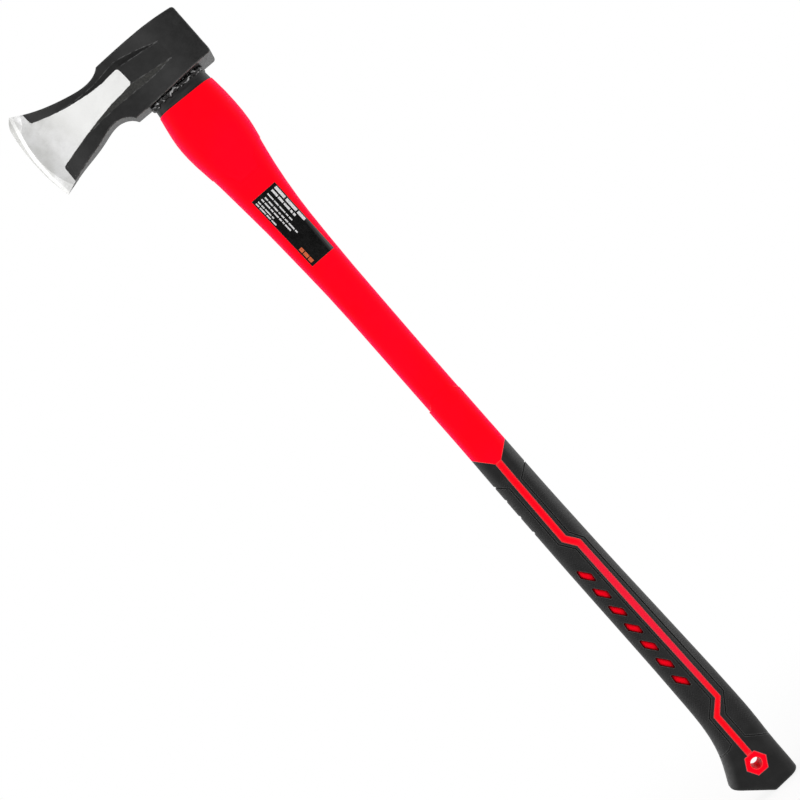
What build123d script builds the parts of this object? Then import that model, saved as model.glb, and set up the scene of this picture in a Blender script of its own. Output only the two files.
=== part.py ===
"""Splitting axe with a bonded steel head and an over-moulded fibreglass handle.

Frame: millimetres, +Z up along the handle with the head at the top, -X towards the bit, +X towards the
poll. The origin is the centre of the hang hole near the butt, whose axis is Y.
"""
import os
from math import radians, tan

from build123d import *

# ---------------------------------------------------------------- driving dimensions
FAR = 60.0  # half-length of a cutting prism, more than any half-thickness

# Head
BIT_EDGE_X = -134.1  # the edge at its foremost point
HEEL = (-129.2, 802.6)  # lower corner of the bit (x, z)
BIT_MID = (BIT_EDGE_X, 846.0)
BIT_TOP = (-131.5, 877.0)
TOE_ROUND = (-128.9, 885.0)
TOE = (-123.4, 891.2)  # upper corner of the bit
POLL_X = 55.1
POLL_TOP_Z = 864.2
POLL_BOTTOM_Z = 810.6
POLL_CORNER_R = 3.5
RIM_R = 1.0  # rounding of the head's long edges
BEARD_START = (-36.6, 811.5)  # where the flat underside ends
EYE_FACE_START = (-33.5, 870.9)  # where the top face of the eye starts
BEVEL_HALF_ANGLE = 20.0  # of the final grind at the edge, degrees
BEVEL_REACH = 6.0  # half-thickness up to which the grind is modelled
GRIND_BACK_X = -112.0  # the grind is applied ahead of this plane
EDGE_FLAT = 0.15  # half-width of the honed edge
GRIND_LENGTH = 60.0  # reach of the grind's outline behind the edge
GRIND_Z = (760.0, 940.0)  # and its reach in height
GRIND_AT_HEEL = (8.0, -27.0)  # how the outline runs on from the heel (x, z)
GRIND_AT_TOE = (24.0, 28.0)  # and from the toe
CHEEK_HALF = 28.3  # half-thickness at the poll

# Head half-thickness against x: bit, hollow beside the eye, then the cheeks
BODY_HALF = [
    (-137.0, 0.7),
    (-129.0, 1.9),
    (-114.0, 4.5),
    (-100.0, 7.9),
    (-86.0, 10.7),
    (-70.0, 12.1),
    (-44.0, 13.6),
    (-19.0, 15.6),
    (5.0, 20.3),
    (25.0, 25.5),
    (40.0, 27.6),
    (POLL_X, CHEEK_HALF),
]

# Raised wedge pad on each cheek: x, half-thickness, lower ridge z, upper ridge z
PAD_FRONT = [
    (-112.5, 4.94, 823.7, 872.6),
    (-106.0, 6.55, 825.1, 870.6),
    (-100.0, 8.02, 826.5, 868.3),
    (-92.0, 9.8, 828.1, 865.3),
    (-86.0, 10.88, 829.3, 863.4),
    (-74.0, 12.5, 831.4, 860.3),
    (-54.0, 15.1, 834.6, 856.7),
    (-44.0, 16.5, 836.0, 855.5),
    (-19.0, 19.7, 837.4, 856.4),
]
PAD_BACK = [
    (-19.0, 19.7, 837.4, 856.4),
    (25.0, 25.5, 830.0, 849.3),
    (34.0, 26.6, 828.5, 848.0),
]
PAD_TIP_X = -112.5  # ahead of this the whole side is as high as the pad
PAD_SEAT = 0.12  # least height of the pad over the body
FLANK_SLOPE = 1.67  # the pad's flanks drop this far in z for each millimetre in y

# Eye, tongue and core
EYE_X = 10.0
EYE_LENGTH = 54.0
EYE_WIDTH = 24.0
GLUE_GAP = 1.2
BEAD_INSET = 1.2  # the resin bead under the head, in from the collar's outline
BEAD_HEIGHT = 4.2
TONGUE_TOP_Z = 861.5
CAP_TOP_Z = 865.2
TONGUE_BOTTOM_Z = 800.2
COLLAR_TOP_Z = 809.4
CORE_X = 5.4
CORE_LENGTH = 25.0  # oval section, along X
CORE_WIDTH = 14.0
CORE_BOTTOM_Z = 22.0

STATION_STEP = 22.0  # spacing of the handle's cross-sections
PROFILE_STEP = 5.0  # spacing of the points along the head's thickness
HEAD_PRISM_Z = (780.0, 910.0)  # reach of a prism higher than the head
COLLAR_SECTION = (-19.4, 39.0, 29.2, 12.2)  # like the columns below, without z

# Upper handle, outer surface: z, x towards the bit, x towards the poll, thickness, corner radius
UPPER_STATIONS = [
    (370.0, -11.9, 22.9, 24.6, 9.0),
    (454.0, -11.9, 22.9, 24.6, 9.0),
    (534.0, -11.9, 23.6, 24.6, 9.0),
    (574.0, -12.4, 24.0, 24.7, 9.0),
    (614.0, -14.0, 25.0, 25.2, 9.2),
    (654.0, -15.9, 26.8, 26.2, 9.6),
    (694.0, -18.9, 31.1, 28.0, 10.4),
    (724.0, -21.4, 36.4, 29.6, 11.4),
    (744.0, -23.9, 40.0, 30.6, 12.2),
    (764.0, -24.9, 41.1, 31.0, 12.6),
    (784.0, -22.7, 40.5, 30.6, 12.6),
    (797.0, -20.2, 39.3, 29.6, 12.4),
    (811.0, *COLLAR_SECTION),
    (835.0, *COLLAR_SECTION),
]

# Lower handle, outer surface of the grip: same columns
LOWER_STATIONS = [
    (-48.0, -41.0, 26.0, 31.0, 11.0),
    (-24.0, -37.5, 26.2, 31.4, 11.0),
    (-3.5, -32.7, 26.5, 31.6, 11.0),
    (13.5, -24.7, 27.0, 31.4, 11.0),
    (33.6, -18.2, 28.1, 31.0, 11.0),
    (63.6, -14.7, 28.3, 30.2, 10.6),
    (133.6, -13.9, 27.0, 28.6, 10.0),
    (233.7, -14.2, 24.5, 27.0, 9.4),
    (333.8, -13.7, 23.4, 26.2, 9.2),
    (400.0, -13.0, 23.4, 26.0, 9.2),
    (450.0, -13.0, 23.4, 26.0, 9.2),
]
GRIP_SKIN = 2.2
STRIPE_RECESS = 0.6
SLOT_DEPTH = 1.7
GROOVE_DEPTH = 1.0
GROOVE_WIDTH = 1.4
STEP_DEPTH = 0.6  # of the chevron step under the shoulder

# Butt, seen from the side
BUTT_FRONT = (-31.5, -7.0)  # where the slanted cut starts, on the bit side
BUTT_KNEE = (-2.6, -31.2)
BUTT_POLL = (FAR, -28.7)  # the last cut runs through the knee towards this point
END_SKIN = 4.2  # rubber left over the shell at the butt
BUTT_EDGE_R = 4.0
ABOVE_GRIP_Z = 500.0

# Slot windows in the grip: the row's ends, and the long and short sides of each slot, all as (x, z)
SLOT_COUNT = 7
SLOT_TOP = (-4.1, 229.1)
SLOT_BOTTOM = (-1.9, 101.4)
SLOT_LONG = (9.9, -12.6)
SLOT_SHORT = (-0.9, -10.0)
SLOT_CORNER_R = 1.3

# Anti-slip notches on the grip's bit side
NOTCH_HEIGHTS = [343.5, 327.5, 308.0, 289.0]
NOTCH_X = -15.5
NOTCH_R = 2.6

# Where the handle's zones meet, seen from the side (x, z)
GRIP_TOP = [(60.0, 372.0), (23.4, 372.0), (8.0, 360.0), (1.0, 360.0), (-13.0, 376.0), (-60.0, 376.0)]
CHEVRON_TOP = [(-60.0, 434.8), (-11.3, 434.8), (-4.4, 442.8), (15.7, 442.8), (22.7, 434.8), (60.0, 434.8)]
SHOULDER_CUT = [
    (60.0, 726.8),
    (37.0, 726.8),
    (21.7, 717.0),
    (18.0, 705.0),
    (-4.0, 705.0),
    (-7.3, 714.5),
    (-22.0, 725.3),
    (-60.0, 725.3),
]
GRIP_ZONE = [(-60.0, -60.0), (60.0, -60.0)] + GRIP_TOP
SLEEVE = CHEVRON_TOP + GRIP_TOP
COLLAR_CUT = [(-60.0, 800.2), (60.0, 794.9)]
SHOULDER = SHOULDER_CUT + COLLAR_CUT
COLLAR = COLLAR_CUT + [(60.0, COLLAR_TOP_Z), (-60.0, COLLAR_TOP_Z)]

# Hang hole
HOLE_R = 5.5
BOSS_THICKNESS = 31.6
BOSS_CORNER_R = 11.8
BOSS_PROUD = 0.4
BOSS_CHAMFER = 0.7

# Label
LABEL_THICKNESS = 0.25
LABEL_CORNERS = [(-8.0, 685.2), (19.9, 685.2), (21.0, 605.0), (-5.0, 605.0)]


# ---------------------------------------------------------------- helpers
def side_prism(face, half=FAR):
    """A solid through the whole thickness, from a face drawn in (x, z)."""
    return extrude(Plane.XZ * face, amount=half, both=True)


def polygon_prism(points, half=FAR):
    return side_prism(make_face(Polyline(*points, close=True)), half)


def limited_slopes(zs, values):
    """Slopes at the stations that keep a cubic between them from overshooting."""
    secants = [(v1 - v0) / (z1 - z0) for z0, z1, v0, v1 in zip(zs, zs[1:], values, values[1:])]
    inner = [0.0 if a * b <= 0 else 2 * a * b / (a + b) for a, b in zip(secants, secants[1:])]
    return [secants[0]] + inner + [secants[-1]]


def hermite(t, span, v0, v1, m0, m1):
    """Cubic from v0 to v1 with end slopes m0 and m1, at the share t of the span."""
    blend = t * t * (3 - 2 * t)
    return v0 + (v1 - v0) * blend + span * t * (1 - t) * (m0 * (1 - t) - m1 * t)


def dense(stations, step=STATION_STEP):
    """The stations with others worked out between them, about a step apart."""
    columns = list(zip(*stations))
    zs = columns[0]
    slopes = [limited_slopes(zs, column) for column in columns[1:]]
    filled = []
    for i in range(len(zs) - 1):
        span = zs[i + 1] - zs[i]
        count = max(1, round(span / step))
        for k in range(count):
            t = k / count
            row = [hermite(t, span, c[i], c[i + 1], m[i], m[i + 1]) for c, m in zip(columns[1:], slopes)]
            filled.append((zs[i] + t * span, *row))
    return filled + [stations[-1]]


def handle_section(station, inset):
    z, x0, x1, thickness, corner = station
    face = RectangleRounded(x1 - x0 - 2 * inset, thickness - 2 * inset, corner - inset)
    return Plane.XY.offset(z) * Pos((x0 + x1) / 2, 0) * face


def handle_loft(stations, inset=0.0):
    return loft([handle_section(s, inset) for s in dense(stations)])


# ---------------------------------------------------------------- head
def head_side_face():
    """Side view of the head: poll, flat underside, beard, bit, blade top and crowned eye face."""
    underside = Polyline((POLL_X, POLL_TOP_Z), (POLL_X, POLL_BOTTOM_Z), BEARD_START)
    beard = Spline(BEARD_START, (-41.6, 817.4), (-49.7, 821.0), (-74.0, 816.9), (-101.0, 810.7), HEEL)
    bit = ThreePointArc(HEEL, BIT_MID, BIT_TOP)
    toe = ThreePointArc(BIT_TOP, TOE_ROUND, TOE)
    blade_top = Spline(TOE, (-94.0, 875.5), (-70.0, 868.0), (-50.0, 865.1), (-40.5, 866.7), EYE_FACE_START)
    crown = ThreePointArc(EYE_FACE_START, (5.0, 870.2), (POLL_X, POLL_TOP_Z))
    face = make_face(Curve() + [underside, beard, bit, toe, blade_top, crown])
    poll_corners = [v for v in face.vertices() if v.X > POLL_X - 1]
    return fillet(poll_corners, POLL_CORNER_R)


def body_prism(extra=0.0):
    """The head's thickness seen from above, as a prism higher than the head."""
    profile = [(x, y + extra) for x, y in dense(BODY_HALF, PROFILE_STEP)]
    upper = Spline(*profile)
    lower = Spline(*[(x, -y) for x, y in profile])
    x0, y0 = profile[0]
    x1, y1 = profile[-1]
    outline = make_face(Curve() + [upper, Line((x0, y0), (x0, -y0)), lower, Line((x1, y1), (x1, -y1))])
    bottom, top = HEAD_PRISM_Z
    return extrude(Plane.XY.offset(bottom) * outline, amount=top - bottom)


def pad_section(station):
    x, half, low, high = station
    drop = half * FLANK_SLOPE
    points = [(half, low), (half, high), (0, high + drop), (-half, high), (-half, low), (0, low - drop)]
    return Plane.YZ.offset(x) * make_face(Polyline(*points, close=True))


def ahead_of(x):
    """Everything on the bit's side of a plane across the head."""
    bottom, top = HEAD_PRISM_Z
    return Pos(x - FAR, 0, (bottom + top) / 2) * Box(2 * FAR, 2 * FAR, top - bottom)


def bit_grind():
    """Space inside the two final bevels, which meet along the curved edge."""
    far_x = BIT_EDGE_X + GRIND_LENGTH
    bottom, top = GRIND_Z
    below_heel = (HEEL[0] + GRIND_AT_HEEL[0], HEEL[1] + GRIND_AT_HEEL[1])
    beyond_toe = (TOE[0] + GRIND_AT_TOE[0], TOE[1] + GRIND_AT_TOE[1])
    outline = make_face(
        Curve()
        + [
            ThreePointArc(HEEL, BIT_MID, BIT_TOP),
            ThreePointArc(BIT_TOP, TOE_ROUND, TOE),
            Polyline(TOE, beyond_toe, (far_x, top), (far_x, bottom), below_heel, HEEL),
        ]
    )
    inset = BEVEL_REACH / tan(radians(BEVEL_HALF_ANGLE))
    inner = offset(outline, -inset, kind=Kind.INTERSECTION)
    half = loft([Plane.XZ.offset(EDGE_FLAT) * outline, Plane.XZ.offset(BEVEL_REACH) * inner], ruled=True)
    middle = side_prism(outline, EDGE_FLAT)
    return half + middle + mirror(half, Plane.XZ)


def eye_prism(bottom, top, clearance=0.0):
    section = SlotOverall(EYE_LENGTH - 2 * clearance, EYE_WIDTH - 2 * clearance)
    return Pos(EYE_X, 0, bottom) * extrude(section, amount=top - bottom)


def make_head():
    side = side_prism(head_side_face())
    body = body_prism() & side
    rims = [e for e in body.edges() if abs(e.center().Y) > 1 and e.bounding_box().max.X > GRIND_BACK_X]
    body = fillet(rims, RIM_R)
    pad_front = loft([pad_section(s) for s in dense(PAD_FRONT, PROFILE_STEP)])
    pad_back = loft([pad_section(s) for s in PAD_BACK], ruled=True)
    tip = body_prism(PAD_SEAT) & ahead_of(PAD_TIP_X)
    blank = body + (pad_front & side) + (pad_back & side) + (tip & side)
    ahead = ahead_of(GRIND_BACK_X)
    head = (blank & ahead & bit_grind()) + (blank - ahead)
    return head - eye_prism(*HEAD_PRISM_Z)


# ---------------------------------------------------------------- handle
def make_core():
    section = SlotOverall(CORE_LENGTH, CORE_WIDTH)
    return Pos(CORE_X, 0, CORE_BOTTOM_Z) * extrude(section, amount=TONGUE_TOP_Z - CORE_BOTTOM_Z)


def make_neck_insert(upper, core):
    collar = upper & polygon_prism(COLLAR)
    tongue = eye_prism(TONGUE_BOTTOM_Z, TONGUE_TOP_Z, GLUE_GAP)
    return collar + tongue - core


def make_eye_epoxy(head, neck_insert, core):
    filling = eye_prism(COLLAR_TOP_Z, CAP_TOP_Z)
    bead = extrude(handle_section((COLLAR_TOP_Z, *COLLAR_SECTION), BEAD_INSET), amount=BEAD_HEIGHT)
    return filling + bead - head - neck_insert - core


def butt_face(inset=0.0):
    """Side view of everything above the cut butt, up past the end of the grip."""
    slope = (BUTT_FRONT[1] - BUTT_KNEE[1]) / (BUTT_FRONT[0] - BUTT_KNEE[0])
    cut_end = (-FAR, BUTT_KNEE[1] + slope * (-FAR - BUTT_KNEE[0]))
    outline = Polyline((-FAR, ABOVE_GRIP_Z), cut_end, BUTT_KNEE, BUTT_POLL, (FAR, ABOVE_GRIP_Z), close=True)
    return offset(make_face(outline), -inset, kind=Kind.INTERSECTION) if inset else make_face(outline)


def stripe_face():
    edge_side = [(1.0, 362.0), (0.4, 334.0), (-0.3, 267.0), (8.0, 255.0), (8.6, 185.0), (10.2, 96.0)]
    edge_side += [(10.8, 69.0), (-2.0, 56.5), (-2.2, 0.0)]
    poll_side = [(8.0, 362.0), (7.4, 334.0), (6.5, 269.0), (14.4, 258.0), (15.2, 185.0), (15.7, 96.0)]
    poll_side += [(16.0, 67.0), (4.0, 54.5), (3.7, 0.0)]
    return make_face(Polyline(*edge_side, *reversed(poll_side), close=True))


def slots_face():
    """A row of slanted four-sided slots with small rounded corners."""
    reach_x = (SLOT_LONG[0] + SLOT_SHORT[0]) / 2
    reach_z = (SLOT_LONG[1] + SLOT_SHORT[1]) / 2
    skew_x = (SLOT_LONG[0] - SLOT_SHORT[0]) / 2
    skew_z = (SLOT_LONG[1] - SLOT_SHORT[1]) / 2
    corners = [(reach_x, reach_z), (skew_x, skew_z), (-reach_x, -reach_z), (-skew_x, -skew_z)]
    slot = make_face(Polyline(*corners, close=True))
    slot = fillet(slot.vertices(), SLOT_CORNER_R)
    faces = Sketch()
    for i in range(SLOT_COUNT):
        along = i / (SLOT_COUNT - 1)
        x = SLOT_TOP[0] + along * (SLOT_BOTTOM[0] - SLOT_TOP[0])
        z = SLOT_TOP[1] + along * (SLOT_BOTTOM[1] - SLOT_TOP[1])
        faces += Pos(x, z) * slot
    return faces


def make_boss():
    half = BOSS_THICKNESS / 2 + BOSS_PROUD
    boss = side_prism(RegularPolygon(BOSS_CORNER_R, 6), half)
    rims = boss.faces().filter_by(Axis.Y).edges()
    return chamfer(rims, BOSS_CHAMFER)


def groove_lines():
    """Centre lines of the grooves that frame the grip's side panels."""
    poll_panel = [(24.0, 344.6), (10.4, 334.7), (10.4, 270.1), (17.9, 257.1), (20.9, 69.3), (8.5, 51.4)]
    poll_panel += [(8.5, 25.5), (30.0, 9.0)]
    bit_panel = [(-14.5, 345.0), (-4.0, 334.7), (-4.0, 267.1), (5.4, 254.1), (7.4, 71.3), (-5.5, 58.3)]
    bit_panel += [(-6.0, 27.5), (-11.4, 25.0), (-24.0, 23.0)]
    return [poll_panel, bit_panel]


def rounded_butt(body):
    ends = [f for f in body.faces() if f.geom_type == GeomType.PLANE and f.center().Z < 0]
    edges = ShapeList([e for f in ends for e in f.edges()])
    return fillet(edges, BUTT_EDGE_R)


def make_grip(lower, inner):
    windows = [side_prism(stripe_face()), make_boss(), side_prism(slots_face())]
    grip = (lower["outer"] & polygon_prism(GRIP_ZONE)) - [inner, *windows]
    cuts = [side_prism(trace(Polyline(*points), GROOVE_WIDTH)) for points in groove_lines()]
    cuts += [Pos(NOTCH_X, 0, z) * Rot(90, 0, 0) * Cylinder(NOTCH_R, 2 * FAR) for z in NOTCH_HEIGHTS]
    for cut in cuts:
        grip -= cut - lower["groove floor"]
    return grip


def make_jacket(upper, lower, inner, core):
    """Red shell: shaft, shoulder, sleeve and the core of the grip meet on plane or chevron cuts."""
    pieces = [
        upper & polygon_prism(CHEVRON_TOP + SHOULDER_CUT),
        handle_loft(UPPER_STATIONS, -STEP_DEPTH) & polygon_prism(SHOULDER),
        lower["outer"] & polygon_prism(SLEEVE),
        inner,
        lower["stripe"] & side_prism(stripe_face()),
        lower["slot floor"] & side_prism(slots_face()),
        make_boss(),
    ]
    jacket = pieces[0]
    for piece in pieces[1:]:
        jacket += piece
    return jacket - core - Rot(90, 0, 0) * Cylinder(HOLE_R, 2 * FAR)


def make_label(upper):
    face = Plane.XZ * make_face(Polyline(*LABEL_CORNERS, close=True))
    skin = handle_loft(UPPER_STATIONS, -LABEL_THICKNESS) & extrude(face, amount=FAR)
    return skin - upper


def build():
    upper = handle_loft(UPPER_STATIONS)
    lower = {
        "outer": rounded_butt(handle_loft(LOWER_STATIONS) & side_prism(butt_face())),
        "stripe": handle_loft(LOWER_STATIONS, STRIPE_RECESS),
        "groove floor": handle_loft(LOWER_STATIONS, GROOVE_DEPTH),
        "slot floor": handle_loft(LOWER_STATIONS, SLOT_DEPTH),
    }
    shell_end = side_prism(butt_face(END_SKIN))
    inner = handle_loft(LOWER_STATIONS, GRIP_SKIN) & shell_end & polygon_prism(GRIP_ZONE)
    parts = {}
    parts["head"] = make_head()
    parts["core_rod"] = make_core()
    parts["neck_insert"] = make_neck_insert(upper, parts["core_rod"])
    parts["eye_epoxy"] = make_eye_epoxy(parts["head"], parts["neck_insert"], parts["core_rod"])
    parts["jacket"] = make_jacket(upper, lower, inner, parts["core_rod"])
    parts["grip"] = make_grip(lower, inner)
    parts["label"] = make_label(upper)
    return parts


def main():
    os.makedirs("parts", exist_ok=True)
    for name, shape in build().items():
        print(name, shape.is_valid, round(shape.volume), len(shape.solids()), flush=True)
        export_step(shape, f"parts/{name}.step")


if __name__ == "__main__":
    main()
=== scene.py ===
"""Looks for the splitting axe, built around its fixed CAD frame.

Frame: metres, +Z up along the handle, -X towards the bit, -Y towards the labelled side. Lengths in the
tables below are in millimetres and are scaled by MM where they are used. Colours are linear.
"""
import math
import random

import bmesh
import bpy
from mathutils import Matrix, Vector, noise
from mathutils.bvhtree import BVHTree


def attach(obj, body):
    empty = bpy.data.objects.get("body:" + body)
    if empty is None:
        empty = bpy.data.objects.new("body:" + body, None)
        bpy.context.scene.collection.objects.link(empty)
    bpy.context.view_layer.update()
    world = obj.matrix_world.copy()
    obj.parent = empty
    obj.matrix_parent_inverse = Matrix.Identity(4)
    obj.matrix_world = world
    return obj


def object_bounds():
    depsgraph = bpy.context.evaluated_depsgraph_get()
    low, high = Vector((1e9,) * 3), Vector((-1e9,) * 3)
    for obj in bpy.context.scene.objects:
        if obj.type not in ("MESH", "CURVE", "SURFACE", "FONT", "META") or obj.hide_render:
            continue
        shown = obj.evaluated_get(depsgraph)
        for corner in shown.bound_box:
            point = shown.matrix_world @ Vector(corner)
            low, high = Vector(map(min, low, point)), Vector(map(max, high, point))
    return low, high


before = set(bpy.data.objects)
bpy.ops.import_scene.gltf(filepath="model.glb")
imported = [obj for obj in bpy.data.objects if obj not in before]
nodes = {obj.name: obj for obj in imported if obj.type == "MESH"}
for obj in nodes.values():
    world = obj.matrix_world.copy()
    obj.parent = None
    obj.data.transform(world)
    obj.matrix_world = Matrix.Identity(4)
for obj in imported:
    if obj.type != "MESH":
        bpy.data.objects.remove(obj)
cad_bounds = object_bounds()

MM = 0.001
WHITE = (1, 1, 1, 1)

# ---------------------------------------------------------------- camera and studio
VIEW_CENTRE = Vector((-25.4, 0.0, 461.2)) * MM
VIEW_DISTANCE = 2.05
HALF_WIDTH = 0.366  # half of what the frame takes in at the axe's mid-plane
ROLL = math.radians(41.33)  # the head leans this far to the left
SENSOR_WIDTH = 36.0
CLIP_END = 50.0

# Place and size in metres, and power in watts, of the rectangular lights
SOFTBOXES = {
    "key": ((-1.5, -1.5, 1.5), (1.0, 1.0), 5.0),
    "low": ((1.5, -1.4, 0.4), (0.9, 1.4), 4.0),
    "spark": ((-0.4, -1.9, 2.1), (0.20, 0.20), 3.5),
}

# The room's brightness: two parts of a direction from which and to which it changes, then its two values
SIDE_WALLS = (0.08, 0.36, 0.10, 0.95)  # by how far the direction leans to +X or -X
FAR_WALLS = (0.50, 0.95, 0.0, 1.9)  # added to the side walls
CEILING = (0.25, 0.85, 1.0, 0.65)  # share that is left, by how far the direction leans up

FLOOR_RADIUS = 20.0
FLOOR_CORNERS = 64
FLOOR_GREY = (0.90, 0.94)
FLOOR_FADE = (0.05, 0.50)  # distances over which the floor's own glow takes over from its shading
FLOOR_GLOW = (0.85, 1.0)  # share of the glow at those distances

# ---------------------------------------------------------------- head: where the paint is ground off
# Lower and upper limits of the bare steel on each cheek, as (x, z), with both ends stepping out of reach
BARE_LOWER = [
    (-135.0, 795.0),
    (-116.2, 795.0),
    (-115.4, 821.5),
    (-114.2, 823.4),
    (-104.2, 825.5),
    (-94.1, 827.6),
    (-84.1, 829.7),
    (-74.1, 831.4),
    (-64.1, 833.2),
    (-54.2, 834.4),
    (-44.2, 836.0),
    (-29.3, 836.6),
    (-20.6, 837.3),
    (-19.2, 838.2),
    (-18.6, 839.8),
    (-18.0, 847.0),
    (-17.4, 895.0),
    (-15.0, 895.0),
]
BARE_UPPER = [
    (-135.0, 895.0),
    (-112.8, 895.0),
    (-112.2, 874.8),
    (-111.0, 872.6),
    (-104.2, 869.9),
    (-94.1, 866.0),
    (-84.1, 862.8),
    (-74.1, 860.3),
    (-64.1, 858.5),
    (-54.2, 856.8),
    (-39.3, 855.4),
    (-29.4, 855.8),
    (-21.8, 856.1),
    (-20.2, 855.4),
    (-19.4, 854.0),
    (-18.8, 847.0),
    (-18.2, 795.0),
    (-15.0, 795.0),
]
# Back edge of the ground bevel along the bit, as (z, x)
BEVEL_LINE = [
    (800.0, -126.0),
    (805.5, -126.7),
    (824.1, -129.0),
    (844.2, -129.4),
    (857.2, -128.1),
    (870.9, -125.4),
    (888.8, -121.4),
    (895.0, -120.0),
]
HEAD_X = (-135.0, -15.0)
HEAD_Z = (795.0, 895.0)
BEVEL_X = (-135.0, -115.0)

# ---------------------------------------------------------------- label
LABEL_CORNERS = [(-8.0, 685.2), (19.9, 685.2), (21.0, 605.0), (-5.0, 605.0)]
# Generic print: share of the label's width at each line's middle, its width, and its ends down the label
PRINT_LINES = [
    (0.910, 0.100, 0.045, 0.545),
    (0.760, 0.075, 0.045, 0.440),
    (0.575, 0.045, 0.045, 0.455),
    (0.425, 0.050, 0.060, 0.600),
    (0.300, 0.050, 0.050, 0.560),
    (0.165, 0.045, 0.045, 0.305),
    (0.070, 0.045, 0.045, 0.380),
]
SIZE_BAR = (0.120, 0.130, 0.755, 0.960)
BOLD_WIDTH = 0.08
# Shortest and longest dash and the gap between two, as shares of the label's length
BOLD_DASHES = (0.10, 0.20, 0.022)
FINE_DASHES = (0.03, 0.10, 0.014)
BAR_DASHES = (0.05, 0.07, 0.012)
PRINT_SEED = 5
PRINT_THICKNESS = 0.06  # of the ink over the film, and as much again sunk into it
PRINT_STEPS = 40  # rows of faces in a patch as long as the label
IN_FRONT = -100.0  # y of a place well in front of the label

# ---------------------------------------------------------------- resin squeezed out under the head
BEAD_CENTRE = (9.8, 0.0, 808.8)
BEAD_HALF = (28.8, 14.2)
BEAD_CORNER = 11.6
BEAD_RADIUS = 2.2
BEAD_RINGS = 260
BEAD_SIDES = 12
BEAD_FLATTEN = (0.8, 1.05)  # the bead's depth and height against its radius
BEAD_THINNEST = 0.55
SWELL_FREQUENCY = 0.16  # per millimetre
SWELL_LEVEL = 3.0  # where the noise is cut
SWELL_BROAD = 0.55
SWELL_FINE = 0.25
FINER = 2.3  # the fine swell's frequency against the broad one's
LUMP_FREQUENCY = 1.7
LUMP_OFFSET = Vector((9, 4, 1))
LUMP_GROWTH = 1.1
LUMP_SAG = 0.7


class Graph:
    """A node tree, with short calls for the nodes used here."""

    def __init__(self, graph):
        self.graph = graph

    def feed(self, socket, value):
        if isinstance(value, bpy.types.NodeSocket):
            self.graph.links.new(value, socket)
        else:
            socket.default_value = value

    def add(self, kind, settings=(), inputs=()):
        node = self.graph.nodes.new("ShaderNode" + kind)
        for key, value in dict(settings).items():
            setattr(node, key, value)
        pairs = inputs.items() if isinstance(inputs, dict) else enumerate(inputs)
        for key, value in pairs:
            self.feed(node.inputs[key], value)
        return node

    def math(self, operation, *values):
        return self.add("Math", {"operation": operation}, values).outputs[0]

    def absolute(self, value):
        return self.math("ABSOLUTE", value)

    def total(self, first, second):
        return self.math("ADD", first, second)

    def less(self, first, second):
        return self.math("SUBTRACT", first, second)

    def product(self, first, *others):
        for other in others:
            first = self.math("MULTIPLY", first, other)
        return first

    def split(self, vector):
        return self.add("SeparateXYZ", inputs=[vector]).outputs

    def span(self, value, low, high, to_low=0.0, to_high=1.0, smooth=True):
        """value carried from low..high to to_low..to_high, held at both ends."""
        kind = "SMOOTHSTEP" if smooth else "LINEAR"
        node = self.add("MapRange", {"interpolation_type": kind}, [value, low, high, to_low, to_high])
        return node.outputs[0]


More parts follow.
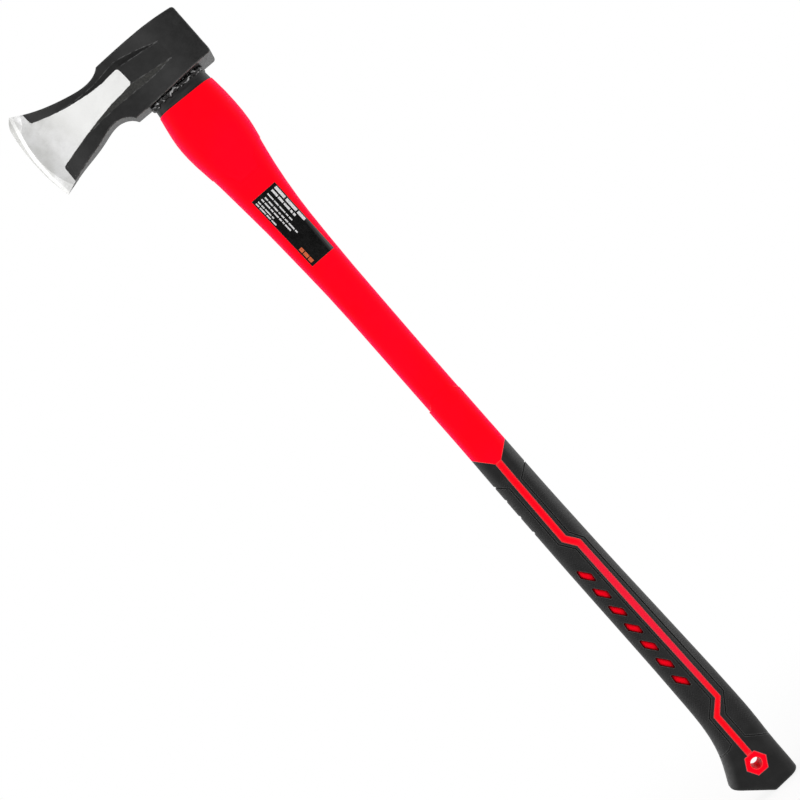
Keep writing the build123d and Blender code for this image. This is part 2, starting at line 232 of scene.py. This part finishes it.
class Tree(Graph):
    """One material's node tree. Its places are in metres and its lengths in millimetres."""

    NOISE_BODY = (0.3, 0.7)  # most of a noise lies between these
    MIX_SHARE = 0  # sockets of a mix: its share, then two values or two colours, and the mixed colour
    MIX_VALUES = (2, 3)
    MIX_COLOURS = (6, 7)
    MIXED_COLOUR = 2
    MAP_PLACE, MAP_OFFSET, MAP_STRETCH = 0, 1, 3  # sockets of a mapping
    EDGE_SAMPLES = 6

    def __init__(self, name):
        self.material = bpy.data.materials.new(name)
        self.material.use_nodes = True
        super().__init__(self.material.node_tree)
        self.shader = self.graph.nodes["Principled BSDF"]
        self.place = self.add("TexCoord").outputs["Object"]
        self.x, self.y, self.z = self.split(self.place)
        self.facing = self.add("NewGeometry").outputs["Normal"]

    def set(self, **values):
        for key, value in values.items():
            self.feed(self.shader.inputs[key.replace("_", " ")], value)

    def zone(self, axis, clear, full, *ends):
        """0 at clear and 1 at full, or the two ends given, both places in millimetres along axis."""
        return self.span(axis, clear * MM, full * MM, *ends)

    def noise(self, size, detail=2.0, stretch=(1, 1, 1), offset=(0, 0, 0)):
        """Soft noise around 0.5 whose features are about size millimetres, longer along a small stretch."""
        placed = {self.MAP_PLACE: self.place, self.MAP_OFFSET: offset, self.MAP_STRETCH: stretch}
        scaled = self.add("Mapping", inputs=placed).outputs[0]
        frequency = 1 / (size * MM)
        texture = self.add("TexNoise", inputs={"Vector": scaled, "Scale": frequency, "Detail": detail})
        return texture.outputs[0]

    def cloud(self, size, detail=2.0, low=0.0, high=1.0, **shape):
        """Noise spread out to run from low to high."""
        return self.span(self.noise(size, detail, **shape), *self.NOISE_BODY, low, high)

    def curve(self, value, points, span, reach):
        """Height in metres that follows points along value, both given in millimetres."""
        start, end = span
        low, high = reach
        placed = [((a - start) / (end - start), (b - low) / (high - low)) for a, b in points]
        share = self.span(value, start * MM, end * MM, smooth=False)
        node = self.add("FloatCurve", inputs={"Value": share})
        curve = node.mapping.curves[0]
        curve.points[0].location = placed[0]
        curve.points[1].location = placed[-1]
        for place in placed[1:-1]:
            curve.points.new(*place)
        for point in curve.points:
            point.handle_type = "VECTOR"
        node.mapping.update()
        return self.span(node.outputs[0], 0.0, 1.0, low * MM, high * MM, smooth=False)

    def mix(self, share, *colours):
        inputs = {self.MIX_SHARE: share, **dict(zip(self.MIX_COLOURS, colours))}
        return self.add("Mix", {"data_type": "RGBA"}, inputs).outputs[self.MIXED_COLOUR]

    def mix_values(self, share, *values):
        inputs = {self.MIX_SHARE: share, **dict(zip(self.MIX_VALUES, values))}
        return self.add("Mix", {"data_type": "FLOAT"}, inputs).outputs[0]

    def cover(self, under, colour, where, strength):
        """The colour under, with a second one laid over it by up to strength where that is 1."""
        return self.mix(self.product(where, strength), under, colour)

    def edges(self, radius, flat=0.995, sharp=0.88):
        """Near 1 on corners sharper than a rounding of radius millimetres, 0 on flat faces."""
        soft = self.add("Bevel", {"samples": self.EDGE_SAMPLES}, {"Radius": radius * MM}).outputs[0]
        dot = self.add("VectorMath", {"operation": "DOT_PRODUCT"}, [soft, self.facing])
        return self.span(dot.outputs["Value"], flat, sharp)

    def hollows(self, distance, low, high):
        """Near 1 deep in grooves and corners closer than distance millimetres, 0 in the open."""
        node = self.add("AmbientOcclusion", {"samples": self.EDGE_SAMPLES}, {"Distance": distance * MM})
        return self.span(node.outputs["AO"], low, high)

    def bump(self, height, depth, normal=None):
        """Surface raised by up to depth millimetres where height is 1."""
        node = self.add("Bump", inputs={"Height": height, "Distance": depth * MM, "Strength": 1.0})
        if normal is not None:
            self.feed(node.inputs["Normal"], normal)
        return node.outputs[0]


def grey(value):
    return (value, value, value, 1)


# ---------------------------------------------------------------- head material
STEEL_TOE_DARK = (0.47, 0.47, 0.46, 1)
STEEL_TOE_PALE = (0.57, 0.57, 0.57, 1)
STEEL_CHEEK = (0.82, 0.82, 0.81, 1)
STEEL_BEVEL = (0.66, 0.66, 0.65, 1)
STEEL_HONED = (0.44, 0.44, 0.43, 1)
STEEL_ROUGH = (0.35, 0.65, 0.40, 0.54)  # limits of the grinding lines, and the roughness at each
TOE_TO_CHEEK_X = (-106.0, -74.0)
BARE_BLUR = 0.15
BEVEL_BLUR = 0.4
HONED_BAND = (2.8, 3.8)  # ahead of the bevel's back edge
PAINT_DARK = grey(0.007)
PAINT_PALE = grey(0.012)
PAINT_SPECK = grey(0.20)
PAINT_FLANK_UNDERLIT = (0.034, 0.034, 0.030, 1)
PAINT_RIDGE_HIGHLIGHT = grey(0.13)
PAINT_WORN = (0.30, 0.30, 0.29, 1)
# How far a face looks to the side before it counts as a cheek or as a flank, and the corners between
CHEEK = (0.55, 0.75)
FLANK = (0.6, 0.75)
FLANK_DOWNWARD = (-0.20, -0.45)
CORNER_FROM = (0.15, 0.35)
CORNER_TO = (0.80, 0.62)
LOW_EDGE_Z = (835.0, 815.0)
LOW_EDGE_WEAR = 0.15
WEAR_STRENGTH = 0.65
FLANK_LIGHT_MOTTLE = (0.30, 0.65, 0.1, 0.8)  # limits of the mottle patches, and the share of painted light from below at each
FINE_LINES = 0.6
COARSE_LINES = 0.4
SKIN_LUMPS = 0.8


def bare_steel(t, bevel, honed):
    """Colour of the ground steel, duller towards the bit, and the fine lines left by grinding."""
    steel = t.mix(t.cloud(size=17.0, detail=3.0), STEEL_TOE_DARK, STEEL_TOE_PALE)
    steel = t.mix(t.zone(t.x, *TOE_TO_CHEEK_X), steel, STEEL_CHEEK)
    steel = t.mix(bevel, steel, STEEL_BEVEL)
    steel = t.mix(t.product(bevel, honed), steel, STEEL_HONED)
    fine = t.noise(size=0.35, stretch=(0.03, 1, 1))
    coarse = t.noise(size=1.6, stretch=(0.05, 1, 1), offset=(0.3, 0, 0))
    lines = t.total(t.product(fine, FINE_LINES), t.product(coarse, COARSE_LINES))
    return steel, lines


def head_paint(t, sideways, upward):
    """Colour of the black paint, with painted light on the downward flanks and a painted highlight along
    their ridges, and where it is worn off the corners.
    """
    flank = t.span(sideways, *FLANK)
    corner = t.product(t.span(sideways, *CORNER_FROM), t.span(sideways, *CORNER_TO))
    low_edge = t.zone(t.z, *LOW_EDGE_Z, 0.0, LOW_EDGE_WEAR)
    patches = t.noise(size=2.2, detail=4.0, offset=(0.7, 0.2, 0.1))
    chips = t.span(t.total(patches, low_edge), low=0.54, high=0.66)
    worn = t.product(corner, chips, WEAR_STRENGTH)
    specks = t.span(t.noise(size=0.9, detail=1.0, offset=(0.1, 0.5, 0.9)), low=0.80, high=0.84)
    # Painted light: flanks that face downward are lightened in mottled patches, as if lit from below.
    mottle = t.span(t.noise(size=1.8, detail=4.0), *FLANK_LIGHT_MOTTLE)
    flank_underlight = t.product(t.span(upward, *FLANK_DOWNWARD), flank, mottle)
    # Painted highlight: a pale line, broken up by noise, along the convex ridge of each flank.
    ridge_highlight_breakup = t.span(t.noise(size=3.0, detail=3.0, stretch=(0.5, 1, 1)), low=0.40, high=0.60)
    ridge_highlight = t.product(t.edges(radius=1.4, flat=0.999, sharp=0.972), flank, ridge_highlight_breakup)
    paint = t.mix(t.cloud(size=9.0, detail=4.0), PAINT_DARK, PAINT_PALE)
    paint = t.cover(paint, PAINT_SPECK, specks, strength=0.5)
    paint = t.mix(flank_underlight, paint, PAINT_FLANK_UNDERLIT)
    paint = t.cover(paint, PAINT_RIDGE_HIGHLIGHT, ridge_highlight, strength=0.8)
    paint = t.mix(worn, paint, PAINT_WORN)
    return paint, worn


def head_steel():
    """Black textured paint, ground off to bright steel over each cheek and along the edge, with painted
    light on the downward flanks and a painted highlight along their ridges.
    """
    t = Tree("head_steel")
    _, across, upward = t.split(t.facing)
    sideways = t.absolute(across)
    cheek = t.span(sideways, *CHEEK)
    height = t.total(t.z, t.cloud(size=4.0, low=-BARE_BLUR * MM, high=BARE_BLUR * MM))
    above = t.less(height, t.curve(t.x, BARE_LOWER, HEAD_X, HEAD_Z))
    below = t.less(t.curve(t.x, BARE_UPPER, HEAD_X, HEAD_Z), height)
    inside = t.zone(t.math("MINIMUM", above, below), -BARE_BLUR, BARE_BLUR)
    bare = t.product(inside, cheek)
    ahead = t.less(t.curve(t.z, BEVEL_LINE, HEAD_Z, BEVEL_X), t.x)
    bevel = t.product(t.zone(ahead, -BEVEL_BLUR, BEVEL_BLUR), cheek)
    steel, lines = bare_steel(t, bevel, t.zone(ahead, *HONED_BAND))
    paint, worn = head_paint(t, sideways, upward)
    steel_rough = t.span(lines, *STEEL_ROUGH)
    paint_rough = t.cloud(size=1.3, detail=3.0, low=0.32, high=0.48)
    skin = t.total(t.noise(size=0.8, detail=3.0), t.product(t.noise(size=3.5), SKIN_LUMPS))
    surface = t.total(t.product(lines, bare), t.product(skin, t.less(1.0, bare)))
    step = t.bump(t.less(1.0, inside), depth=0.12)
    t.set(
        Base_Color=t.mix(bare, paint, steel),
        Metallic=t.math("MAXIMUM", bare, worn),
        Roughness=t.mix_values(bare, paint_rough, steel_rough),
        Specular_IOR_Level=0.30,
        Normal=t.bump(surface, depth=0.05, normal=step),
    )
    return t.material


# ---------------------------------------------------------------- jacket material
RED = (0.98, 0.0, 0.008, 1)
RED_WARM = (1.0, 0.0, 0.012, 1)
RED_SIDE_SHEEN = (0.98, 0.0, 0.045, 1)
RED_LOW_STRIPE_SHEEN = (0.86, 0.010, 0.036, 1)
RED_EDGE_HIGHLIGHT = (1.0, 0.11, 0.09, 1)
RED_STRIPE_WALL_HIGHLIGHT = (1.0, 0.11, 0.12, 1)
RED_SLOT_SHADE = (0.02, 0.0, 0.0, 1)
SIDE_SHEEN_TURN = (0.97, 0.45)  # by how little a face looks to the side, for the painted sheen
GRIP_MOUTH_Z = (440.0, 436.0)
# Where the lowest straight run of the stripe and the row of slots start and end
LOW_STRIPE_FROM_Z = (60.0, 110.0)
LOW_STRIPE_TO_Z = (262.0, 240.0)
SLOTS_FROM_Z = (88.0, 92.0)
SLOTS_TO_Z = (248.0, 243.0)
STRIPE_SIDE_X = (6.6, 7.2)  # slots lie on the bit side of this, the stripe on the poll side
STRIPE_JOIN_Z = 360.5
STRIPE_JOIN_REACH = (1.0, 2.0)
SEAM_HALF = (0.32, 0.12)
SCUFF_ROUGHNESS = 0.12
RED_TEXTURE = 0.5


def jacket_red():
    """Satin moulded plastic, with painted sheen on faces turned to the side and on the low stripe, painted
    highlights along the stripe's edges and walls, and painted shade deep in the slots.
    """
    t = Tree("jacket_red")
    # Painted sheen: faces turned to the side are tinted towards magenta.
    side_sheen = t.span(t.absolute(t.split(t.facing)[1]), *SIDE_SHEEN_TURN)
    in_grip = t.zone(t.z, *GRIP_MOUTH_Z)
    # Painted sheen: the lowest straight run of the stripe is paler and pinker.
    by_stripe = t.product(t.zone(t.z, *LOW_STRIPE_FROM_Z), t.zone(t.z, *LOW_STRIPE_TO_Z))
    low_stripe_sheen = t.product(by_stripe, t.zone(t.x, *STRIPE_SIDE_X))
    # Painted highlight: a pale line on the convex edges inside the grip, left off where the stripe joins
    # the sleeve.
    off_join = t.zone(t.absolute(t.less(t.z, STRIPE_JOIN_Z * MM)), *STRIPE_JOIN_REACH)
    edge_highlight = t.product(t.edges(radius=0.8), t.product(in_grip, off_join))
    by_slots = t.product(t.zone(t.z, *SLOTS_FROM_Z), t.zone(t.z, *SLOTS_TO_Z))
    in_slots = t.product(by_slots, t.zone(t.x, *reversed(STRIPE_SIDE_X)))
    walls = t.hollows(distance=4.0, low=0.95, high=0.68)
    # Painted highlight: paler close to the stripe's walls.
    stripe_wall_highlight = t.product(walls, in_grip, t.less(1.0, in_slots))
    # Painted shade: dark close to the slots' walls.
    slot_shade = t.product(walls, in_slots)

    red = t.mix(t.cloud(size=60.0), RED, RED_WARM)
    red = t.mix(side_sheen, red, RED_SIDE_SHEEN)
    red = t.mix(low_stripe_sheen, red, RED_LOW_STRIPE_SHEEN)
    red = t.cover(red, RED_EDGE_HIGHLIGHT, edge_highlight, strength=0.9)
    red = t.cover(red, RED_STRIPE_WALL_HIGHLIGHT, stripe_wall_highlight, strength=0.55)
    red = t.cover(red, RED_SLOT_SHADE, slot_shade, strength=0.95)

    strokes = t.noise(size=0.5, detail=3.0, stretch=(1, 1, 0.12), offset=(0.4, 0.8, 0.0))
    scuffs = t.product(t.span(strokes, low=0.62, high=0.75), SCUFF_ROUGHNESS)
    satin = t.cloud(size=7.0, detail=4.0, low=0.40, high=0.52)
    seam = t.zone(t.absolute(t.y), *SEAM_HALF)
    t.set(
        Base_Color=red,
        Roughness=t.total(satin, scuffs),
        Specular_IOR_Level=0.03,
        Normal=t.bump(t.total(t.product(t.noise(size=0.45), RED_TEXTURE), seam), depth=0.035),
    )
    return t.material


# ---------------------------------------------------------------- grip material
KNURL_AXIS_X = 6.0
KNURL_ROUND = 72.0  # waves in a full turn about the axis
KNURL_PITCH = 2.6
KNURL_DOTS = (0.05, 0.7)
PANEL_FROM_Z = (26.0, 34.0)
PANEL_TO_Z = (352.0, 340.0)
POLL_SHEEN_X = (13.0, 22.0)
POLL_SHEEN_Z = (50.0, 150.0)
POLL_SHEEN_DOTS = (0.35, 0.9)  # painted sheen between the dots and on them
RELIEF_GRAIN = 0.25
RUBBER_DARK = grey(0.004)
RUBBER_DUSTY = grey(0.009)
RUBBER_EDGE_SHEEN = grey(0.12)
RUBBER_DOT = grey(0.030)
RUBBER_POLL_SHEEN = grey(0.055)
RUBBER_GROOVE_SHADE = grey(0.0005)


def grip_black():
    """Soft black rubber with a fine knurl on its panels, painted sheen on its edges and on the dots near
    the poll, and painted shade in its grooves.
    """
    t = Tree("grip_black")
    turn = t.math("ARCTAN2", t.y, t.less(t.x, KNURL_AXIS_X * MM))
    around = t.math("SINE", t.product(turn, KNURL_ROUND))
    along = t.math("SINE", t.product(t.z, math.tau / (KNURL_PITCH * MM)))
    dots = t.span(t.product(around, along), *KNURL_DOTS)
    panel = t.product(t.zone(t.z, *PANEL_FROM_Z), t.zone(t.z, *PANEL_TO_Z))
    knurl = t.product(dots, panel)
    # Painted sheen: the dots and the rubber between them are paler on the poll-side panel.
    poll_panel = t.product(t.zone(t.x, *POLL_SHEEN_X), t.zone(t.z, *POLL_SHEEN_Z))
    poll_sheen = t.product(poll_panel, t.span(dots, 0.0, 1.0, *POLL_SHEEN_DOTS))
    # Painted shade: near black deep in grooves and corners.
    groove_shade = t.hollows(distance=1.6, low=0.90, high=0.60)

    mottle = t.span(t.noise(size=14.0, detail=5.0), low=0.35, high=0.75)
    black = t.mix(mottle, RUBBER_DARK, RUBBER_DUSTY)
    # Painted sheen: pale convex edges.
    black = t.cover(black, RUBBER_EDGE_SHEEN, t.edges(radius=0.7), strength=0.8)
    black = t.cover(black, RUBBER_DOT, knurl, strength=0.45)
    black = t.mix(poll_sheen, black, RUBBER_POLL_SHEEN)
    black = t.cover(black, RUBBER_GROOVE_SHADE, groove_shade, strength=0.95)
    relief = t.total(knurl, t.product(t.noise(size=0.6), RELIEF_GRAIN))
    t.set(
        Base_Color=black,
        Roughness=t.cloud(size=3.0, detail=4.0, low=0.40, high=0.52),
        Specular_IOR_Level=0.24,
        Normal=t.bump(relief, depth=0.16),
    )
    return t.material


# ---------------------------------------------------------------- other materials
NECK_DARK = grey(0.010)
NECK_PALE = grey(0.022)
RESIN_DARK = grey(0.001)
RESIN_PALE = grey(0.003)
RESIN_GLARE = grey(0.42)
FIBRE_DARK = (0.55, 0.44, 0.20, 1)
FIBRE_PALE = (0.78, 0.70, 0.44, 1)
FILM_DARK = grey(0.002)
FILM_PALE = grey(0.005)
FILM_EDGE = grey(0.35)
INK_PALE = (grey(0.66), grey(0.30))
INK_ORANGE = ((0.60, 0.11, 0.03, 1), (0.22, 0.04, 0.02, 1))


def neck_black():
    """Smooth black moulded plastic with faint flow marks."""
    t = Tree("neck_black")
    flow = t.noise(size=3.0, detail=3.0, stretch=(0.15, 0.15, 1))
    t.set(
        Base_Color=t.mix(t.span(flow, *t.NOISE_BODY), NECK_DARK, NECK_PALE),
        Roughness=t.span(flow, *t.NOISE_BODY, to_low=0.38, to_high=0.50),
        Specular_IOR_Level=0.18,
        Normal=t.bump(flow, depth=0.08),
    )
    return t.material


def resin_black():
    """Cured glossy black resin with small pits and pale patches of painted highlight."""
    t = Tree("resin_black")
    pits = t.span(t.noise(size=0.9, detail=3.0), low=0.25, high=0.45)
    patches = t.noise(size=2.2, detail=3.0, stretch=(0.6, 1, 1), offset=(0.2, 0.6, 0.4))
    # Painted highlight: pale patches standing in for glare on the resin.
    glare = t.span(patches, low=0.56, high=0.64)
    black = t.mix(t.noise(size=2.0), RESIN_DARK, RESIN_PALE)
    t.set(
        Base_Color=t.cover(black, RESIN_GLARE, glare, strength=0.8),
        Roughness=t.cloud(size=1.5, low=0.06, high=0.16),
        Specular_IOR_Level=0.32,
        Normal=t.bump(t.total(pits, t.noise(size=2.4)), depth=0.10),
    )
    return t.material


def core_fibreglass():
    """Yellowish pultruded rod with long glass strands."""
    t = Tree("core_fibreglass")
    strands = t.noise(size=0.6, detail=4.0, stretch=(1, 1, 0.02))
    t.set(
        Base_Color=t.mix(t.span(strands, low=0.35, high=0.65), FIBRE_DARK, FIBRE_PALE),
        Roughness=t.span(strands, *t.NOISE_BODY, to_low=0.30, to_high=0.50),
        Normal=t.bump(strands, depth=0.05),
    )
    return t.material


def label_film():
    """Glossy black film with faint ripples and a pale cut edge."""
    t = Tree("label_film")
    ripple = t.noise(size=9.0, stretch=(1, 1, 0.4))
    black = t.mix(t.span(ripple, *t.NOISE_BODY), FILM_DARK, FILM_PALE)
    t.set(
        Base_Color=t.cover(black, FILM_EDGE, t.edges(radius=0.3), strength=0.35),
        Roughness=t.cloud(size=2.5, detail=3.0, low=0.10, high=0.20),
        Specular_IOR_Level=0.35,
        Normal=t.bump(ripple, depth=0.10),
    )
    return t.material


def ink(name, strong, faint):
    """Screen-printed ink, thinner in places."""
    t = Tree(name)
    layer = t.span(t.noise(size=0.7, detail=4.0), low=0.30, high=0.55)
    t.set(
        Base_Color=t.mix(layer, faint, strong),
        Roughness=t.span(layer, 0.0, 1.0, to_low=0.45, to_high=0.30),
        Normal=t.bump(layer, depth=0.01),
    )
    return t.material


# ---------------------------------------------------------------- pieces
def new_piece(name, built, material):
    """A scene object from a built mesh."""
    mesh = bpy.data.meshes.new(name)
    built.to_mesh(mesh)
    built.free()
    mesh.materials.append(material)
    piece = bpy.data.objects.new(name, mesh)
    bpy.context.scene.collection.objects.link(piece)
    return piece


def new_part_of_axe(name, built, material):
    bmesh.ops.recalc_face_normals(built, faces=built.faces)
    piece = new_piece(name, built, material)
    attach(piece, "root")
    return piece


def label_point(surface, across, down, lift):
    """A point over the label, at shares of its width and length, lift millimetres off its face."""
    top_left, top_right, low_right, low_left = (Vector(c) for c in LABEL_CORNERS)
    left = top_left.lerp(low_left, down)
    right = top_right.lerp(low_right, down)
    flat = left.lerp(right, across) * MM
    start = Vector((flat.x, IN_FRONT * MM, flat.y))
    hit, normal, _, _ = surface.ray_cast(start, Vector((0, 1, 0)))
    return hit + normal * lift * MM


def rim_of(rows):
    """The points all round a grid of points, in order."""
    right = [row[-1] for row in rows[1:]]
    bottom = rows[-1][-2::-1]
    left = [row[0] for row in rows[-2:0:-1]]
    return rows[0] + right + bottom + left


def add_print_patch(mesh, surface, across, width, top, bottom):
    """A thin closed patch of ink that follows the label."""
    steps = max(2, round((bottom - top) * PRINT_STEPS))
    columns = [across - width / 2, across, across + width / 2]
    layers = []
    for lift in (PRINT_THICKNESS, -PRINT_THICKNESS):
        rows = []
        for i in range(steps + 1):
            down = top + (bottom - top) * i / steps
            rows.append([mesh.verts.new(label_point(surface, c, down, lift)) for c in columns])
        layers.append(rows)
    for layer, rows in enumerate(layers):
        for row, below in zip(rows, rows[1:]):
            for k in range(len(columns) - 1):
                face = [row[k], row[k + 1], below[k + 1], below[k]]
                mesh.faces.new(reversed(face) if layer else face)
    front, back = (rim_of(rows) for rows in layers)
    for k in range(len(front)):
        n = (k + 1) % len(front)
        mesh.faces.new([front[n], front[k], back[k], back[n]])


def dashes(rng, top, bottom, shortest, longest, gap):
    """Ends of word-like dashes that fill a line of print from top to bottom."""
    at = top
    found = []
    while at < bottom - shortest / 2:
        end = min(bottom, at + rng.uniform(shortest, longest))
        found.append((at, end))
        at = end + gap
    return found


def make_print():
    """Generic pale lines and one orange bar, printed on the label."""
    label = nodes["label"].data
    faces = [list(p.vertices) for p in label.polygons]
    surface = BVHTree.FromPolygons([v.co for v in label.vertices], faces)
    rng = random.Random(PRINT_SEED)
    pale = bmesh.new()
    for across, width, top, bottom in PRINT_LINES:
        lengths = BOLD_DASHES if width > BOLD_WIDTH else FINE_DASHES
        for start, end in dashes(rng, top, bottom, *lengths):
            add_print_patch(pale, surface, across, width, start, end)
    orange = bmesh.new()
    across, width, top, bottom = SIZE_BAR
    for start, end in dashes(rng, top, bottom, *BAR_DASHES):
        add_print_patch(orange, surface, across, width, start, end)
    pale_ink = ink("ink_pale", *INK_PALE)
    orange_ink = ink("ink_orange", *INK_ORANGE)
    new_part_of_axe("label_print", pale, pale_ink)
    new_part_of_axe("label_print_orange", orange, orange_ink)


def bead_path(share):
    """A point, and the outward direction, on the rounded outline that the resin follows."""
    half_x, half_y = BEAD_HALF
    straight_x = half_x - BEAD_CORNER
    straight_y = half_y - BEAD_CORNER
    quarter = BEAD_CORNER * math.pi / 2
    pieces = [
        ("line", Vector((half_x, -straight_y)), Vector((0, 1)), 2 * straight_y),
        ("arc", Vector((straight_x, straight_y)), 0.0, quarter),
        ("line", Vector((straight_x, half_y)), Vector((-1, 0)), 2 * straight_x),
        ("arc", Vector((-straight_x, straight_y)), math.pi / 2, quarter),
        ("line", Vector((-half_x, straight_y)), Vector((0, -1)), 2 * straight_y),
        ("arc", Vector((-straight_x, -straight_y)), math.pi, quarter),
        ("line", Vector((-straight_x, -half_y)), Vector((1, 0)), 2 * straight_x),
        ("arc", Vector((straight_x, -straight_y)), 1.5 * math.pi, quarter),
    ]
    left = share * sum(length for _, _, _, length in pieces)
    for kind, start, way, length in pieces:
        if left <= length:
            break
        left -= length
    if kind == "line":
        outward = Vector((way.y, -way.x))
        return start + way * left, outward
    angle = way + left / BEAD_CORNER
    outward = Vector((math.cos(angle), math.sin(angle)))
    return start + outward * BEAD_CORNER, outward


def bead_ring(share):
    """Points, in millimetres, of one ring of the bead."""
    at, outward = bead_path(share)
    seed = Vector((at.x * SWELL_FREQUENCY, at.y * SWELL_FREQUENCY, SWELL_LEVEL))
    swell = 1.0 + SWELL_BROAD * noise.noise(seed) + SWELL_FINE * noise.noise(seed * FINER)
    lump = max(0.0, noise.noise(seed * LUMP_FREQUENCY + LUMP_OFFSET))
    radius = BEAD_RADIUS * max(BEAD_THINNEST, swell + LUMP_GROWTH * lump)
    depth, height = BEAD_FLATTEN
    ring = []
    for k in range(BEAD_SIDES):
        turn = math.tau * k / BEAD_SIDES
        away = outward * radius * depth * math.cos(turn)
        rise = radius * height * math.sin(turn) - LUMP_SAG * lump
        ring.append(Vector(BEAD_CENTRE) + Vector((at.x + away.x, at.y + away.y, rise)))
    return ring


def make_resin_bead():
    """An uneven bead of resin all round the collar, with lumps where more was squeezed out."""
    built = bmesh.new()
    rings = []
    for i in range(BEAD_RINGS):
        rings.append([built.verts.new(point * MM) for point in bead_ring(i / BEAD_RINGS)])
    for i, ring in enumerate(rings):
        following = rings[(i + 1) % BEAD_RINGS]
        for k in range(BEAD_SIDES):
            m = (k + 1) % BEAD_SIDES
            built.faces.new([ring[k], following[k], following[m], ring[m]])
    resin = nodes["eye_epoxy"].data.materials[0]
    bead = new_part_of_axe("resin_bead", built, resin)
    bead.data.shade_smooth()


# ---------------------------------------------------------------- studio
def add_camera():
    data = bpy.data.cameras.new("camera")
    data.sensor_width = SENSOR_WIDTH
    data.lens = SENSOR_WIDTH / 2 * VIEW_DISTANCE / HALF_WIDTH
    data.clip_end = CLIP_END
    camera = bpy.data.objects.new("camera", data)
    bpy.context.scene.collection.objects.link(camera)
    right = Vector((math.cos(ROLL), 0, -math.sin(ROLL)))
    up = Vector((math.sin(ROLL), 0, math.cos(ROLL)))
    back = Vector((0, -1, 0))
    turn = Matrix((right, up, back)).transposed().to_4x4()
    camera.matrix_world = Matrix.Translation(VIEW_CENTRE + back * VIEW_DISTANCE) @ turn
    bpy.context.scene.camera = camera


def add_softbox(name, place, size, power):
    data = bpy.data.lights.new(name, "AREA")
    data.shape = "RECTANGLE"
    data.size, data.size_y = size
    data.energy = power
    light = bpy.data.objects.new(name, data)
    bpy.context.scene.collection.objects.link(light)
    light.location = place
    light.rotation_euler = (VIEW_CENTRE - Vector(place)).to_track_quat("-Z", "Y").to_euler()


def add_world():
    """A white room whose side walls light the axe, calm in front, behind and overhead."""
    world = bpy.data.worlds.new("studio")
    world.use_nodes = True
    w = Graph(world.node_tree)
    x, _, z = w.split(w.add("TexCoord").outputs["Generated"])
    sideways = w.absolute(x)
    walls = w.total(w.span(sideways, *SIDE_WALLS), w.span(sideways, *FAR_WALLS))
    strength = w.product(walls, w.span(z, *CEILING))
    room = w.graph.nodes["Background"]
    w.feed(room.inputs["Color"], WHITE)
    w.feed(room.inputs["Strength"], strength)
    seen = w.add("Background", inputs={"Color": WHITE, "Strength": 1.0})
    looked_at = w.add("LightPath").outputs["Is Camera Ray"]
    choice = w.add("MixShader", inputs=[looked_at, room.outputs[0], seen.outputs[0]])
    w.feed(w.graph.nodes["World Output"].inputs["Surface"], choice.outputs[0])
    bpy.context.scene.world = world
    bpy.context.scene.view_settings.view_transform = "Standard"


def floor_white():
    """White floor that keeps a faint contact shadow near the axe and matches the room further out."""
    t = Tree("floor_white")
    flat = t.add("VectorMath", {"operation": "MULTIPLY"}, [t.place, (1, 1, 0)]).outputs[0]
    away = t.add("VectorMath", {"operation": "LENGTH"}, [flat]).outputs["Value"]
    low, high = FLOOR_GREY
    speckle = t.cloud(size=2.0, low=low, high=high)
    t.set(
        Base_Color=t.add("CombineColor", inputs=[speckle, speckle, speckle]).outputs[0],
        Roughness=0.9,
        Specular_IOR_Level=0.1,
    )
    glow = t.add("Emission", inputs={"Color": WHITE, "Strength": 1.0})
    share = t.span(away, *FLOOR_FADE, *FLOOR_GLOW)
    mixed = t.add("MixShader", inputs=[share, t.shader.outputs[0], glow.outputs[0]])
    t.feed(t.graph.nodes["Material Output"].inputs["Surface"], mixed.outputs[0])
    return t.material


def add_floor():
    """A wide round floor at the level of the butt."""
    level = cad_bounds[0][2]
    built = bmesh.new()
    rim = [math.tau * k / FLOOR_CORNERS for k in range(FLOOR_CORNERS)]
    places = [(FLOOR_RADIUS * math.cos(a), FLOOR_RADIUS * math.sin(a), level) for a in rim]
    built.faces.new([built.verts.new(place) for place in places])
    new_piece("floor", built, floor_white())


# ---------------------------------------------------------------- build
LOOKS = {
    "head": head_steel,
    "jacket": jacket_red,
    "grip": grip_black,
    "neck_insert": neck_black,
    "eye_epoxy": resin_black,
    "core_rod": core_fibreglass,
    "label": label_film,
}
for name, look in LOOKS.items():
    materials = nodes[name].data.materials
    materials.clear()
    materials.append(look())

make_print()
make_resin_bead()
add_camera()
add_world()
for name, (place, size, power) in SOFTBOXES.items():
    add_softbox(name, place, size, power)
add_floor()
